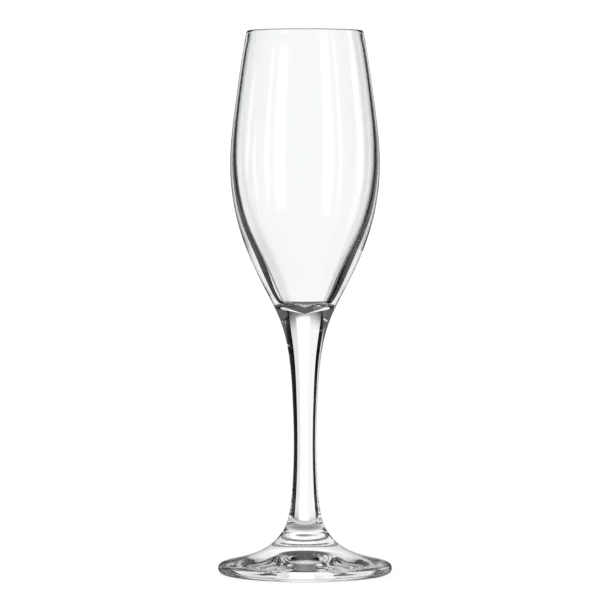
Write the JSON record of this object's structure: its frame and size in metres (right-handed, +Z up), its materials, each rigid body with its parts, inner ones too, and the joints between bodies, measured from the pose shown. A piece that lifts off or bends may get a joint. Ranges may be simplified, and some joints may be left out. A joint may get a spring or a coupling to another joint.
{
  "type": "champagne flute",
  "caption": "Stemmed clear-glass flute: a tall tulip bowl with a rounded lip, a slim solid stem that flares at both ends, and a gently domed round foot, fused by heat.",
  "frame": {"origin": "centre of the ring that the foot rests on, in the plane of the table", "axes": "+Z up along the axis of revolution, from the foot to the mouth; +X and +Y are any two level directions at right angles, because the glass is round"},
  "size_m": [0.066, 0.066, 0.206],
  "materials": {
    "clear_glass": "colourless soda-lime glass, fire-polished"
  },
  "bodies": {
    "root": {"bowl": "clear_glass", "stem": "clear_glass", "foot": "clear_glass"}
  },
  "joints": []
}
